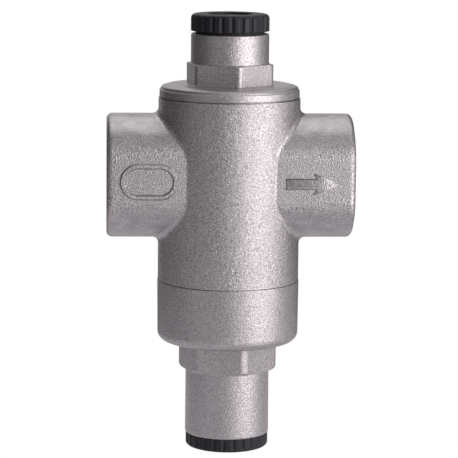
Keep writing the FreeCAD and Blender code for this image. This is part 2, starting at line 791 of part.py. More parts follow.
def make_piston():
    """The piston with its stem, drilled so that the gauge port feels the outlet pressure."""
    body = new_body("piston")
    turned(body, "piston_blank", [
        ("0", "spring_top"),
        ("spring_seat_radius", "spring_top"),
        ("spring_seat_radius", "piston_bottom"),
        ("piston_radius", "piston_bottom"),
        ("piston_radius", "guide_groove_low"),
        ("guide_groove_radius", "guide_groove_low"),
        ("guide_groove_radius", "guide_groove_top"),
        ("piston_radius", "guide_groove_top"),
        ("piston_radius", "piston_groove_low"),
        ("piston_groove_radius", "piston_groove_low"),
        ("piston_groove_radius", "piston_groove_top"),
        ("piston_radius", "piston_groove_top"),
        ("piston_radius", "piston_top"),
        ("stem_radius", "piston_top"),
        ("stem_radius", "stem_shoulder"),
        ("stem_tail_radius", "stem_shoulder"),
        ("stem_tail_radius", "stem_top"),
        ("sensing_radius", "stem_top"),
        ("sensing_radius", "sensing_floor"),
        ("0", "sensing_floor"),
    ])
    sketch = new_sketch(body, "sensing_port_outline", "YZ_Plane")
    circle(sketch, "sensing_radius", "0", "sensing_port")
    port = cut(body, "sensing_port", sketch)
    port.Midplane = True
    doc.recompute()
    sub_part(body, "piston")
    torus("piston_seal", "piston_groove_radius", "cylinder_radius", "piston_groove_low", "piston_groove_top")
    plain_ring("piston_guide_ring", [
        ("guide_groove_radius", "guide_groove_low"),
        ("guide_ring_radius", "guide_groove_low"),
        ("guide_ring_radius", "guide_groove_top"),
        ("guide_groove_radius", "guide_groove_top"),
    ])


def make_shutter():
    """The gasket that closes on the seat, its holder, and the balancing guide screwed on above them."""
    plain_ring("shutter_gasket", [
        ("stem_tail_radius", "stem_shoulder"),
        ("gasket_radius", "stem_shoulder"),
        ("gasket_radius", "gasket_top"),
        ("stem_tail_radius", "gasket_top"),
    ])
    plain_ring("shutter_holder", [
        ("gasket_radius", "holder_bottom"),
        ("holder_radius", "holder_bottom"),
        ("holder_radius", "holder_top"),
        ("stem_tail_radius", "holder_top"),
        ("stem_tail_radius", "gasket_top"),
        ("gasket_radius", "gasket_top"),
    ])
    plain_ring("balancing_guide", [
        ("stem_tail_radius", "holder_top"),
        ("guide_radius", "holder_top"),
        ("guide_radius", "guide_waist_low"),
        ("guide_waist", "guide_waist_low"),
        ("guide_waist", "guide_waist_top"),
        ("guide_radius", "guide_waist_top"),
        ("guide_radius", "guide_top"),
        ("stem_tail_radius", "guide_top"),
    ])
    torus("balancing_seal", "guide_waist", "balance_bore_radius", "guide_waist_low", "guide_waist_top")


make_body()
make_seat()
make_bonnet()
make_gauge_plug()
make_housing()
make_spring()
make_adjuster()
make_adjuster_cap()
make_piston()
make_shutter()
doc.recompute()

for thing in doc.Objects:
    if "Invalid" in thing.State or "Error" in thing.State:
        raise RuntimeError("%s is %s" % (thing.Label, thing.State))
for piece in parts:
    if piece.Shape.isNull() or not piece.Shape.isValid():
        raise RuntimeError("%s has no valid shape" % piece.Label)

os.makedirs("parts", exist_ok=True)
for piece in parts:
    piece.Shape.exportStep(os.path.join("parts", piece.Label + ".step"))
    print("%-20s %9.1f mm3" % (piece.Label, piece.Shape.Volume))
print(len(parts), "sub-parts")
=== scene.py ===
"""Looks of the pressure reducing valve: threads, ribbed caps, forged and plated skin, inner pieces, lights.

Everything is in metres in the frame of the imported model. The spindle axis is vertical, and the ports lie
along X. MM turns the millimetres that this kind of object is drawn in into metres.
"""

import json
import math

import bmesh
import bpy
from mathutils import Matrix, Vector


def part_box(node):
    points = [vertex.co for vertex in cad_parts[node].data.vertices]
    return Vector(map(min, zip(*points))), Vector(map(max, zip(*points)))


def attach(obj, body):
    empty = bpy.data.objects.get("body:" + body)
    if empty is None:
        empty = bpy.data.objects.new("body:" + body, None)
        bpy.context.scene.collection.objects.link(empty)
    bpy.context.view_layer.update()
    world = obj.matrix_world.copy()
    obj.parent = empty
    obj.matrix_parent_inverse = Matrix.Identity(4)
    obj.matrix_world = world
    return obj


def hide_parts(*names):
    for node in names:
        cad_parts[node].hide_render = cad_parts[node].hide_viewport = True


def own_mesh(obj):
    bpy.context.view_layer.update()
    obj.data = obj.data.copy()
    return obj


MM = 0.001
TAU = 2 * math.pi

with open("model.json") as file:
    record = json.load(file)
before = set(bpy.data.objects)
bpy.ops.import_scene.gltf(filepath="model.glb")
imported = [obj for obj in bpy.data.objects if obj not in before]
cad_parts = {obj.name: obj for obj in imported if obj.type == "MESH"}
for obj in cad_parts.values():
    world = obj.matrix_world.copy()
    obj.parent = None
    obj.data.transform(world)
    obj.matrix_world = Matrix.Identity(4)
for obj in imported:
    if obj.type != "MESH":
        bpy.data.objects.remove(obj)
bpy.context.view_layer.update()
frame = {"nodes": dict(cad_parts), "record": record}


# --- places read from the frame -------------------------------------------------------------------------

def low(node):
    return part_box(node)[0]


def high(node):
    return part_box(node)[1]


def half_width(node):
    """Half of a node's extent across the flow."""
    return (high(node).y - low(node).y) / 2


SPINDLE = (low("valve_body").x + high("valve_body").x) / 2
PORT_REACH = high("valve_body").x - SPINDLE
BARREL_TOP = high("valve_body").z
BARREL_BOTTOM = low("valve_body").z
PLUG_BOTTOM = high("gauge_plug_seal").z
COLLAR_TOP = low("gauge_plug_seal").z
PLUG_TOP = high("gauge_plug").z
NECK_END = low("spring_housing").z
CAP_BOTTOM = low("adjuster_cap").z
PLUG_RADIUS = half_width("gauge_plug")
CAP_RADIUS = half_width("adjuster_cap")

PORT_RADIUS = 13.3 * MM
BARREL_RADIUS = 15.2 * MM
PORT_FLAT = 12.0 * MM
PORT_FLAT_ROUND = 6.0 * MM

PIPE_PITCH = 1.814 * MM
PIPE_MINOR = 9.3155 * MM
PIPE_MAJOR = 10.4775 * MM
GAUGE_PITCH = 1.337 * MM
GAUGE_MINOR = 5.7235 * MM
GAUGE_MAJOR = 6.5785 * MM
NECK_PITCH = 1.0 * MM
NECK_MINOR = 7.0 * MM
NECK_MAJOR = 7.55 * MM
THREAD_EASE = 0.07 * MM

PLUG_RIBS = 24
CAP_RIBS = 26

# Hexagons: size across the flats, and how far each stands turned about the spindle.
BONNET_FLATS = 17 * MM
BONNET_TURN = math.radians(9.5 + 90)
HOUSING_FLATS = 19 * MM
HOUSING_TURN = math.radians(17 + 90)
SOCKET_FLATS = 8 * MM
SOCKET_TURN = math.radians(90)

SCREW_TRAVEL = 5 * MM
PISTON_TRAVEL = 2.2 * MM

# A point this near a thread's plain radius is on the thread.
ON_THREAD = 0.02 * MM


# --- mesh helpers ---------------------------------------------------------------------------------------

def add_object(name, mesh):
    thing = bpy.data.objects.new(name, mesh)
    bpy.context.scene.collection.objects.link(thing)
    return thing


def mesh_object(name, points, faces):
    mesh = bpy.data.meshes.new(name)
    mesh.from_pydata(points, [], faces)
    mesh.validate()
    mesh.shade_smooth()
    return add_object(name, mesh)


def rounded_outline(corners, step=math.radians(15)):
    """A closed outline of (radius, height) points. Each corner is (radius, height, rounding)."""
    outline = []
    count = len(corners)
    for index, (across, along, rounding) in enumerate(corners):
        here = Vector((across, along))
        before = Vector(corners[index - 1][:2])
        after = Vector(corners[(index + 1) % count][:2])
        if rounding <= 0:
            outline.append(here)
            continue
        back = (before - here).normalized()
        ahead = (after - here).normalized()
        half = back.angle(ahead) / 2
        reach = min(rounding / math.tan(half), 0.49 * (before - here).length, 0.49 * (after - here).length)
        radius = reach * math.tan(half)
        centre = here + (back + ahead).normalized() * (radius / math.sin(half))
        start = here + back * reach - centre
        sweep = math.pi - 2 * half
        turn = 1 if back.x * ahead.y - back.y * ahead.x < 0 else -1
        steps = max(2, math.ceil(sweep / step))
        for n in range(steps + 1):
            angle = turn * sweep * n / steps
            spun = Vector((start.x * math.cos(angle) - start.y * math.sin(angle),
                           start.x * math.sin(angle) + start.y * math.cos(angle)))
            outline.append(centre + spun)
    return outline


def divided(outline, longest):
    """The outline with points added so that no run is longer than longest."""
    points = []
    for index, here in enumerate(outline):
        after = outline[(index + 1) % len(outline)]
        pieces = max(1, math.ceil((after - here).length / longest))
        points += [here.lerp(after, n / pieces) for n in range(pieces)]
    return points


def lathe(name, outline, turns=160, shape=None):
    """Turn a closed outline about the spindle axis. shape(angle, radius, height) may move a point in or out.

    Points on the axis become one point each, so an outline may start and end there.
    """
    rings = []
    points = []
    for spot in outline:
        if spot.x < 1e-9:
            rings.append([len(points)])
            points.append((SPINDLE, 0, spot.y))
            continue
        ring = []
        for n in range(turns):
            angle = TAU * n / turns
            radius = shape(angle, spot.x, spot.y) if shape else spot.x
            ring.append(len(points))
            points.append((SPINDLE + radius * math.cos(angle), radius * math.sin(angle), spot.y))
        rings.append(ring)
    faces = []
    for index, ring in enumerate(rings):
        other = rings[(index + 1) % len(rings)]
        if len(ring) == 1 and len(other) == 1:
            continue
        for n in range(turns):
            m = (n + 1) % turns
            if len(ring) == 1:
                faces.append((ring[0], other[m], other[n]))
            elif len(other) == 1:
                faces.append((ring[n], ring[m], other[0]))
            else:
                faces.append((ring[n], ring[m], other[m], other[n]))
    made = mesh_object(name, points, faces)
    face_outwards(made)
    return made


def face_outwards(thing):
    work = bmesh.new()
    work.from_mesh(thing.data)
    bmesh.ops.recalc_face_normals(work, faces=work.faces)
    work.to_mesh(thing.data)
    work.free()


def weld(thing):
    """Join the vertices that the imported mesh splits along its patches."""
    work = bmesh.new()
    work.from_mesh(thing.data)
    bmesh.ops.remove_doubles(work, verts=work.verts, dist=0.001 * MM)
    work.to_mesh(thing.data)
    work.free()


def apply_modifiers(thing):
    """Keep what the modifiers make as the piece's own mesh."""
    bpy.context.view_layer.update()
    settled = thing.evaluated_get(bpy.context.evaluated_depsgraph_get())
    mesh = bpy.data.meshes.new_from_object(settled)
    thing.modifiers.clear()
    thing.data = mesh
    return thing


def combine(thing, tool, operation):
    """Boolean the tool into the piece and drop the tool."""
    join = thing.modifiers.new("join", "BOOLEAN")
    join.object = tool
    join.operation = operation
    join.solver = "EXACT"
    apply_modifiers(thing)
    bpy.data.objects.remove(tool)
    return thing


# --- thread forms ---------------------------------------------------------------------------------------

def thread_share(angle, height, pitch):
    """How far out the thread stands here, from 0 to 1, with a short flat at either end of its flanks."""
    steepness = 1.25
    phase = (height / pitch - angle / TAU) % 1.0
    flank = abs(2 * phase - 1)
    return min(1.0, max(0.0, steepness * flank - (steepness - 1) / 2))


def ramp(value, start, end):
    """0 before start, 1 after end, straight between."""
    return min(1.0, max(0.0, (value - start) / (end - start)))


def pipe_tap(name, face_x, inward):
    """A screw-shaped tool, along a port's axis, that leaves the port's thread in the body."""
    around = 120
    per_pitch = 10
    depth = 10.8 * MM
    outside = 0.6 * MM
    rings = round((depth + outside) / PIPE_PITCH * per_pitch)
    inside_radius = PIPE_MINOR - 0.15 * MM
    mouth_start, mouth_end = 0.3 * MM, 1.2 * MM
    points = []
    for k in range(rings + 1):
        run = -outside + (depth + outside) * k / rings
        fade = ramp(run, mouth_start, mouth_end) * (1 - ramp(run, depth - PIPE_PITCH, depth))
        for n in range(around):
            angle = TAU * n / around
            share = thread_share(angle * inward, run, PIPE_PITCH) * fade
            radius = inside_radius + (PIPE_MAJOR - inside_radius) * share
            points.append((face_x + inward * run, radius * math.cos(angle), radius * math.sin(angle)))
    faces = []
    for k in range(rings):
        for n in range(around):
            m = (n + 1) % around
            faces.append((k * around + n, k * around + m, (k + 1) * around + m, (k + 1) * around + n))
    faces.append(tuple(range(around)))
    faces.append(tuple(range(rings * around, (rings + 1) * around)))
    tool = mesh_object(name, points, faces)
    face_outwards(tool)
    return tool


def internal_thread(angle, height, pitch, minor, major):
    """Radius of a nut's thread: its bore at minor, its trough at major."""
    return minor + (major - minor) * thread_share(angle, height, pitch)


def external_thread(angle, height, pitch, minor, major):
    """Radius of the screw that runs in that nut, a little inside it everywhere."""
    slack = THREAD_EASE + 0.1 * (major - minor)
    return internal_thread(angle, height, pitch, minor, major) - slack


def hexagon_radius(angle, across_flats, corner_radius, turn):
    """Radius of a hexagon whose corners were turned to corner_radius, with the edges eased."""
    from_flat = (angle - turn) % (TAU / 6) - TAU / 12
    flat = across_flats / 2 / math.cos(from_flat)
    ease = 0.10 * MM
    gap = max(0.0, ease - abs(flat - corner_radius))
    return min(flat, corner_radius) - gap * gap / (4 * ease)


def on_hexagon(angle, radius, flats, corner, ease, turn, inner):
    """Where flats milled on a turned blank put a point.

    The blank's eased end shows as arcs at the corners.
    """
    side = hexagon_radius(angle, flats, corner, turn)
    rim = corner - ease
    if radius > corner:
        return side + radius - corner
    if radius > rim:
        return min(side, radius)
    return inner + (radius - inner) * (min(side, rim) - inner) / (rim - inner)


def rib_dip(angle, ribs, groove, depth):
    """How far a ribbed rim dips here: a groove this wide between ribs that crown slightly."""
    lip = 0.65
    crown_drop = 0.05 * MM
    place = (angle / TAU * ribs + 0.5) % 1.0 - 0.5
    pitch = TAU * PLUG_RADIUS / ribs
    off = abs(place) * pitch
    if off < groove / 2:
        return depth * (1 - (1 - lip) * (2 * off / groove) ** 4)
    across = (off - groove / 2) / (pitch / 2 - groove / 2)
    return depth * lip * max(0.0, 1 - 5 * across) + crown_drop * (1 - across) ** 2


# --- pieces of the shell --------------------------------------------------------------------------------

def swap_in(piece, node, body, slot):
    """Stand a finished piece in for a CAD node."""
    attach(piece, body)
    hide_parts(node)
    paint(piece, slot)


def shade(piece, angle=35):
    piece.data.shade_smooth()
    piece.data.set_sharp_from_angle(angle=math.radians(angle))


def make_body():
    """The forged body, with real threads cut in both ports."""
    body = add_object("valve_body_skin", frame["nodes"]["valve_body"].data.copy())
    body.data.materials.clear()
    weld(body)
    for face_x, inward in ((SPINDLE - PORT_REACH, 1), (SPINDLE + PORT_REACH, -1)):
        combine(body, pipe_tap("tap", face_x, inward), "DIFFERENCE")
    shade(body, 28)
    exact_normals(body)
    swap_in(body, "valve_body", "housing", "nickel_casting")
    body.data.materials[0] = MATERIALS["rough_nickel"]


def port_surface(spot):
    """The way out of a port's skin near this point, and how far the point is from that skin."""
    across, rise = abs(spot.y), abs(spot.z)
    middle = PORT_FLAT - PORT_FLAT_ROUND
    round_from = math.sqrt((PORT_RADIUS - PORT_FLAT_ROUND) ** 2 - middle ** 2)
    if rise <= round_from:
        way, off = Vector((across, 0)), abs(across - PORT_FLAT)
    elif math.atan2(rise, across) < math.atan2(round_from, middle):
        way = Vector((across - middle, rise - round_from))
        off = abs(way.length - PORT_FLAT_ROUND)
    else:
        way = Vector((across, rise))
        off = abs(way.length - PORT_RADIUS)
    way.normalize()
    return Vector((0, math.copysign(way.x, spot.y), math.copysign(way.y, spot.z))), off


def exact_normals(piece):
    """Exact normals on the barrel, the ports and their floors, whose long facets would shade in streaks."""
    mesh = piece.data
    near = 0.012 * MM
    within = math.cos(math.radians(25))
    square_on = 0.999
    floor_radius = PIPE_MAJOR - 0.2 * MM
    normals = [corner.vector.copy() for corner in mesh.corner_normals]
    for face in mesh.polygons:
        spots = [mesh.vertices[index].co for index in face.vertices]
        reach = max(math.hypot(spot.y, spot.z) for spot in spots)
        if abs(face.normal.x) > square_on and reach < floor_radius:
            for corner in face.loop_indices:
                normals[corner] = face.normal.copy()
            continue
        for corner, spot in zip(face.loop_indices, spots):
            exact, off = port_surface(spot)
            around = Vector((spot.x - SPINDLE, spot.y, 0))
            outside_bore = math.hypot(spot.y, spot.z) > PIPE_MAJOR
            if off > near and outside_bore and abs(around.length - BARREL_RADIUS) < near:
                exact, off = around.normalized(), 0
            if off < near and face.normal.dot(exact) > within:
                normals[corner] = exact
    mesh.normals_split_custom_set(normals)


def make_bonnet():
    """Upper cover: flange with its crease, eased hexagon, gauge collar with its thread."""
    crease = 18.5 * MM
    flange = 15.0 * MM
    top = 19.6 * MM
    hexagon = 24.05 * MM
    floor = 20.5 * MM
    collar = 8.35 * MM
    corner = 9.62 * MM
    ease = 0.36 * MM
    root = collar + 0.25 * MM
    spigot, spigot_end = 12.0 * MM, low("bonnet").z
    guide, guide_top = 4.5 * MM, 19.0 * MM
    feed = 1.5 * MM
    joint, gap_top = 14.4 * MM, BARREL_TOP + 0.2 * MM
    outline = rounded_outline([
        (guide, spigot_end, 0), (spigot, spigot_end, 0.3 * MM), (spigot, BARREL_TOP, 0),
        (joint, BARREL_TOP, 0), (joint, gap_top, 0), (flange, gap_top, 0.16 * MM),
        (flange, crease, 0.12 * MM), (flange - 0.2 * MM, crease + 0.06 * MM, 0.05 * MM),
        (flange - 0.42 * MM, crease + 0.72 * MM, 0.9 * MM), (13.1 * MM, top, 1.3 * MM),
        (corner, top, 0.22 * MM), (corner, hexagon, ease), (collar, hexagon, 0.2 * MM),
        (collar, COLLAR_TOP, 0.32 * MM), (GAUGE_MAJOR + 0.35 * MM, COLLAR_TOP, 0.1 * MM),
        (GAUGE_MINOR, COLLAR_TOP - 0.9 * MM, 0), (GAUGE_MINOR, floor, 0), (feed, floor, 0),
        (feed, guide_top, 0), (guide, guide_top, 0),
    ])
    thread_start = floor + 0.2 * MM
    fine = divided(outline, GAUGE_PITCH / 8)

    def shape(angle, radius, height):
        if top + 0.05 * MM < height < hexagon + 0.01 * MM and radius > root:
            return on_hexagon(angle, radius, BONNET_FLATS, corner, ease, BONNET_TURN, root)
        if abs(radius - GAUGE_MINOR) < ON_THREAD and height > thread_start:
            fade = ramp(height, thread_start, floor + GAUGE_PITCH)
            thread = internal_thread(angle, height, GAUGE_PITCH, GAUGE_MINOR, GAUGE_MAJOR)
            return radius + fade * (thread - radius)
        return radius

    piece = lathe("bonnet_skin", fine, turns=288, shape=shape)
    shade(piece)
    swap_in(piece, "bonnet", "housing", "nickel_casting")


def make_housing():
    """Lower cover: cup with a soft corner, hexagon with broad eased corners, threaded neck."""
    spigot_top = high("spring_housing").z
    cup_top = BARREL_BOTTOM - 0.1 * MM
    cup_bottom = -35.9 * MM
    hexagon = -42.1 * MM
    corner = 10.62 * MM
    ease = 0.8 * MM
    neck = 9.03 * MM
    root = neck + 0.3 * MM
    spigot = 12.45 * MM
    joint = 14.7 * MM
    spring_room, room_end, room_cone = 11.2 * MM, -33.3 * MM, -37.5 * MM
    outline = rounded_outline([
        (spring_room, spigot_top, 0), (spigot, spigot_top, 0.3 * MM), (spigot, BARREL_BOTTOM, 0),
        (joint, BARREL_BOTTOM, 0), (joint, cup_top, 0), (15.3 * MM, cup_top, 0.1 * MM),
        (15.2 * MM, cup_bottom, 1.95 * MM), (corner, cup_bottom, 0.3 * MM),
        (corner, hexagon, ease), (neck, hexagon, 0.25 * MM),
        (9.1 * MM, NECK_END, 0.45 * MM), (NECK_MAJOR + 0.2 * MM, NECK_END, 0.08 * MM),
        (NECK_MINOR, NECK_END + 0.7 * MM, 0), (NECK_MINOR, room_cone, 0), (spring_room, room_end, 0.4 * MM),
    ])
    thread_end = 38.2 * MM
    fine = divided(outline, NECK_PITCH / 7)

    def shape(angle, radius, height):
        if hexagon - 0.01 * MM < height < cup_bottom - 0.05 * MM and radius > root:
            return on_hexagon(angle, radius, HOUSING_FLATS, corner, ease, HOUSING_TURN, root)
        if abs(radius - NECK_MINOR) < ON_THREAD and -height > thread_end:
            fade = ramp(-height, thread_end, thread_end + NECK_PITCH)
            thread = internal_thread(angle, height, NECK_PITCH, NECK_MINOR, NECK_MAJOR)
            return radius + fade * (thread - radius)
        return radius

    piece = lathe("spring_housing_skin", fine, turns=252, shape=shape)
    shade(piece)
    swap_in(piece, "spring_housing", "housing", "nickel_casting")


def crescent(name, radius, edge, top, floor):
    """A tool for one pocket: the part of a disc beyond a straight edge, on edge's side of the spindle."""
    side = 1 if edge > 0 else -1
    reach = math.acos(abs(edge) / radius)
    steps = 28
    rim = [reach * (2 * n / steps - 1) for n in range(steps + 1)]
    flat = [(SPINDLE + side * radius * math.cos(a), radius * math.sin(a)) for a in rim]
    count = len(flat)
    points = [(x, y, floor) for x, y in flat] + [(x, y, top) for x, y in flat]
    faces = [tuple(range(count)), tuple(range(count, 2 * count))]
    faces += [(n, (n + 1) % count, count + (n + 1) % count, count + n) for n in range(count)]
    tool = mesh_object(name, points, faces)
    face_outwards(tool)
    return tool


def make_gauge_plug():
    """Ribbed plug: crowned ribs below a smooth rolled rim, two pockets beside a bar, threaded spigot."""
    end = low("gauge_plug").z
    rib_top = PLUG_TOP - 0.5 * MM
    recess = 4.7 * MM
    bar_drop = 0.45 * MM
    bar_half_width = 2.3 * MM
    pocket_floor = PLUG_TOP - 1.7 * MM
    groove, groove_depth = 0.56 * MM, 0.38 * MM
    spigot = GAUGE_MINOR - THREAD_EASE
    thread_top = PLUG_BOTTOM - 0.3 * MM
    outline = rounded_outline([
        (0, end, 0), (spigot, end, 0.35 * MM), (spigot, PLUG_BOTTOM, 0),
        (PLUG_RADIUS, PLUG_BOTTOM, 0.14 * MM), (PLUG_RADIUS, PLUG_TOP, 1.0 * MM),
        (recess, PLUG_TOP, 0.18 * MM), (recess, PLUG_TOP - bar_drop, 0.08 * MM), (0, PLUG_TOP - bar_drop, 0),
    ])
    fine = divided(outline[1:], GAUGE_PITCH / 8)
    fine = [Vector((0, end))] + [spot for spot in fine if spot.x > 1e-9] + [Vector((0, PLUG_TOP - bar_drop))]

    def shape(angle, radius, height):
        if abs(radius - spigot) < ON_THREAD and height < thread_top:
            fade = ramp(height, end + 0.3 * MM, end + GAUGE_PITCH)
            fade *= ramp(-height, -thread_top, -thread_top + 1.0 * MM)
            thread = external_thread(angle, height, GAUGE_PITCH, GAUGE_MINOR, GAUGE_MAJOR)
            return radius + fade * (thread - radius)
        if radius > PLUG_RADIUS - 0.8 * MM and height < PLUG_TOP:
            fade = 1 - ramp(height, rib_top - 0.15 * MM, rib_top + 0.25 * MM)
            return radius - fade * rib_dip(angle, PLUG_RIBS, groove, groove_depth)
        return radius

    piece = lathe("gauge_plug_skin", fine, turns=384, shape=shape)
    for edge in (bar_half_width, -bar_half_width):
        tool = crescent("pocket", recess, edge, PLUG_TOP + 0.5 * MM, pocket_floor)
        combine(piece, tool, "DIFFERENCE")
    shade(piece, 40)
    swap_in(piece, "gauge_plug", "top_plug", "black_plastic")


def make_adjuster_cap():
    """Ribbed cap on the neck's end: narrow grooves, rolled lower edge, threaded spigot with a waist."""
    end = high("adjuster_cap").z
    rib_end = CAP_BOTTOM + 0.8 * MM
    spigot = NECK_MINOR - THREAD_EASE
    waist, waist_top, waist_bottom = 5.7 * MM, -54.4 * MM, -55.8 * MM
    groove, groove_depth = 0.38 * MM, 0.3 * MM
    outline = rounded_outline([
        (0, end, 0), (spigot, end, 0.3 * MM), (spigot, waist_top, 0), (waist, waist_top, 0.1 * MM),
        (waist, waist_bottom, 0.1 * MM), (spigot, waist_bottom, 0), (spigot, NECK_END, 0),
        (CAP_RADIUS, NECK_END, 0.12 * MM), (CAP_RADIUS, CAP_BOTTOM, 0.75 * MM), (0, CAP_BOTTOM, 0),
    ])
    fine = divided(outline[1:], NECK_PITCH / 7)
    fine = [Vector((0, end))] + [spot for spot in fine if spot.x > 1e-9] + [Vector((0, CAP_BOTTOM))]

    def shape(angle, radius, height):
        if abs(radius - spigot) < ON_THREAD and height > waist_top + 0.1 * MM:
            fade = ramp(-height, -end + 0.2 * MM, -end + 0.7 * MM)
            thread = external_thread(angle, height, NECK_PITCH, NECK_MINOR, NECK_MAJOR)
            return radius + fade * (thread - radius)
        if radius > CAP_RADIUS - 0.6 * MM and height > CAP_BOTTOM + 0.01 * MM:
            fade = ramp(height, rib_end - 0.35 * MM, rib_end + 0.05 * MM)
            return radius - fade * rib_dip(angle, CAP_RIBS, groove, groove_depth)
        return radius

    piece = lathe("adjuster_cap_skin", fine, turns=390, shape=shape)
    shade(piece, 40)
    swap_in(piece, "adjuster_cap", "bottom_cap", "black_plastic")


def make_screw():
    """The adjusting screw: full thread outside, an 8 mm hexagon socket in its lower end."""
    bottom, top = low("adjusting_screw").z, high("adjusting_screw").z
    outer = NECK_MINOR - THREAD_EASE
    socket = SOCKET_FLATS / math.sqrt(3)
    floor = bottom + 4.4 * MM
    lead = 0.6 * MM
    outline = rounded_outline([
        (0, top, 0), (outer, top, 0.3 * MM), (outer, bottom, 0.3 * MM),
        (socket, bottom, 0.15 * MM), (socket, floor, 0), (0, floor, 0),
    ])
    fine = divided(outline[1:], NECK_PITCH / 8)
    fine = [Vector((0, top))] + [spot for spot in fine if spot.x > 1e-9] + [Vector((0, floor))]

    def shape(angle, radius, height):
        if abs(radius - outer) < ON_THREAD:
            fade = ramp(height, bottom, bottom + lead) * ramp(-height, -top, -top + lead)
            thread = external_thread(angle, height, NECK_PITCH, NECK_MINOR, NECK_MAJOR)
            return radius + fade * (thread - radius)
        if radius < socket + 0.01 * MM:
            sharp = 1.0
            return radius * hexagon_radius(angle, SOCKET_FLATS, sharp, SOCKET_TURN) / socket
        return radius

    piece = lathe("adjusting_screw_skin", fine, turns=240, shape=shape)
    shade(piece)
    swap_in(piece, "adjusting_screw", "adjuster", "turned_brass")


def make_spring():
    """The set spring, made in two halves."""
    bottom, top = low("spring").z, high("spring").z
    middle = (bottom + top) / 2
    wire = 1.0 * MM
    coil = 5.6 * MM
    pitch = 4.3 * MM
    around, per_turn = 14, 40
    for name, start, end, joint, travel in (
        ("spring_lower", bottom, middle, "adjuster_travel", SCREW_TRAVEL),
        ("spring_upper", middle, top, "piston_lift", PISTON_TRAVEL),
    ):
        steps = round((end - start) / pitch * per_turn)
        points = []
        for k in range(steps + 1):
            height = start + (end - start) * k / steps
            turn = TAU * (height - bottom) / pitch
            for n in range(around):
                a = TAU * n / around
                radius = coil + wire * math.cos(a)
                level = min(max(height + wire * math.sin(a), start), end)
                points.append((SPINDLE + radius * math.cos(turn), radius * math.sin(turn), level))
        faces = [(k * around + n, k * around + (n + 1) % around, (k + 1) * around + (n + 1) % around,
                  (k + 1) * around + n) for k in range(steps) for n in range(around)]
        faces += [tuple(range(around)), tuple(range(steps * around, (steps + 1) * around))]
        half = mesh_object(name, points, faces)
        face_outwards(half)
        swap_in(half, "spring", "housing", "spring_steel")
        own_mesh(half)


# --- materials ------------------------------------------------------------------------------------------

def new_material(name):
    material = bpy.data.materials.new(name)
    material.use_nodes = True
    nodes = material.node_tree.nodes
    shader = nodes["Principled BSDF"]
    place = nodes.new("ShaderNodeTexCoord")
    return material, nodes, material.node_tree.links, shader, place.outputs["Object"]


def noise(nodes, links, place, size, detail=2.0, roughness=0.5):
    """Noise whose grains are about this size, in metres."""
    texture = nodes.new("ShaderNodeTexNoise")
    texture.inputs["Scale"].default_value = 1 / size
    texture.inputs["Detail"].default_value = detail
    texture.inputs["Roughness"].default_value = roughness
    links.new(place, texture.inputs["Vector"])
    return texture.outputs["Fac"]


def spread(nodes, links, value, low_out, high_out, low_in=0.3, high_in=0.7):
    """Map a value's useful range on to another range."""
    scale = nodes.new("ShaderNodeMapRange")
    scale.inputs["From Min"].default_value = low_in
    scale.inputs["From Max"].default_value = high_in
    scale.inputs["To Min"].default_value = low_out
    scale.inputs["To Max"].default_value = high_out
    links.new(value, scale.inputs["Value"])
    return scale.outputs["Result"]


def mixed(nodes, links, first, second, share):
    """Two values mixed; share, how much of the second, is itself a value."""
    node = nodes.new("ShaderNodeMix")
    links.new(share, node.inputs["Factor"])
    links.new(first, node.inputs["A"])
    links.new(second, node.inputs["B"])
    return node.outputs["Result"]


def tint(nodes, links, value, dark, light):
    """A colour between dark and light."""
    ramp_node = nodes.new("ShaderNodeValToRGB")
    ramp_node.color_ramp.elements[0].position = 0.3
    ramp_node.color_ramp.elements[1].position = 0.7
    ramp_node.color_ramp.elements[0].color = (*dark, 1)
    ramp_node.color_ramp.elements[1].color = (*light, 1)
    links.new(value, ramp_node.inputs["Fac"])
    return ramp_node.outputs["Color"]


def bump(nodes, links, height, distance, strength=1.0, under=None):
    node = nodes.new("ShaderNodeBump")
    node.inputs["Distance"].default_value = distance
    node.inputs["Strength"].default_value = strength
    links.new(height, node.inputs["Height"])
    if under:
        links.new(under, node.inputs["Normal"])
    return node.outputs["Normal"]


def nickel_casting(name, depth, roughness, dark, light):
    """Blasted forging under nickel: sparkling grain on the walls, smoother where it faces up or down."""
    material, nodes, links, shader, place = new_material(name)
    grain = noise(nodes, links, place, 0.24 * MM, detail=2.0, roughness=0.6)
    pits = noise(nodes, links, place, 0.55 * MM, detail=2.0)
    patches = noise(nodes, links, place, 2.4 * MM, detail=3.0)
    facing = nodes.new("ShaderNodeSeparateXYZ")
    links.new(nodes.new("ShaderNodeTexCoord").outputs["Normal"], facing.inputs["Vector"])
    upward = nodes.new("ShaderNodeMath")
    upward.operation = "ABSOLUTE"
    links.new(facing.outputs["Z"], upward.inputs[0])
    wall, ledge = 0.45, 0.75
    on_walls = spread(nodes, links, upward.outputs[0], 1.0, 0.2, low_in=wall, high_in=ledge)
    rough = bump(nodes, links, pits, 0.45 * depth)
    fine = bump(nodes, links, grain, depth, under=rough)
    links.new(on_walls, fine.node.inputs["Strength"])
    links.new(fine, shader.inputs["Normal"])
    specks = noise(nodes, links, place, 0.3 * MM, detail=2.0, roughness=0.7)
    share = spread(nodes, links, upward.outputs[0], 0.85, 0.3, low_in=wall, high_in=ledge)
    colour = mixed(nodes, links, spread(nodes, links, patches, 0.44, 0.56), specks, share)
    links.new(tint(nodes, links, colour, dark, light), shader.inputs["Base Color"])
    links.new(spread(nodes, links, grain, roughness - 0.06, roughness + 0.06), shader.inputs["Roughness"])
    shader.inputs["Metallic"].default_value = 1.0
    return material


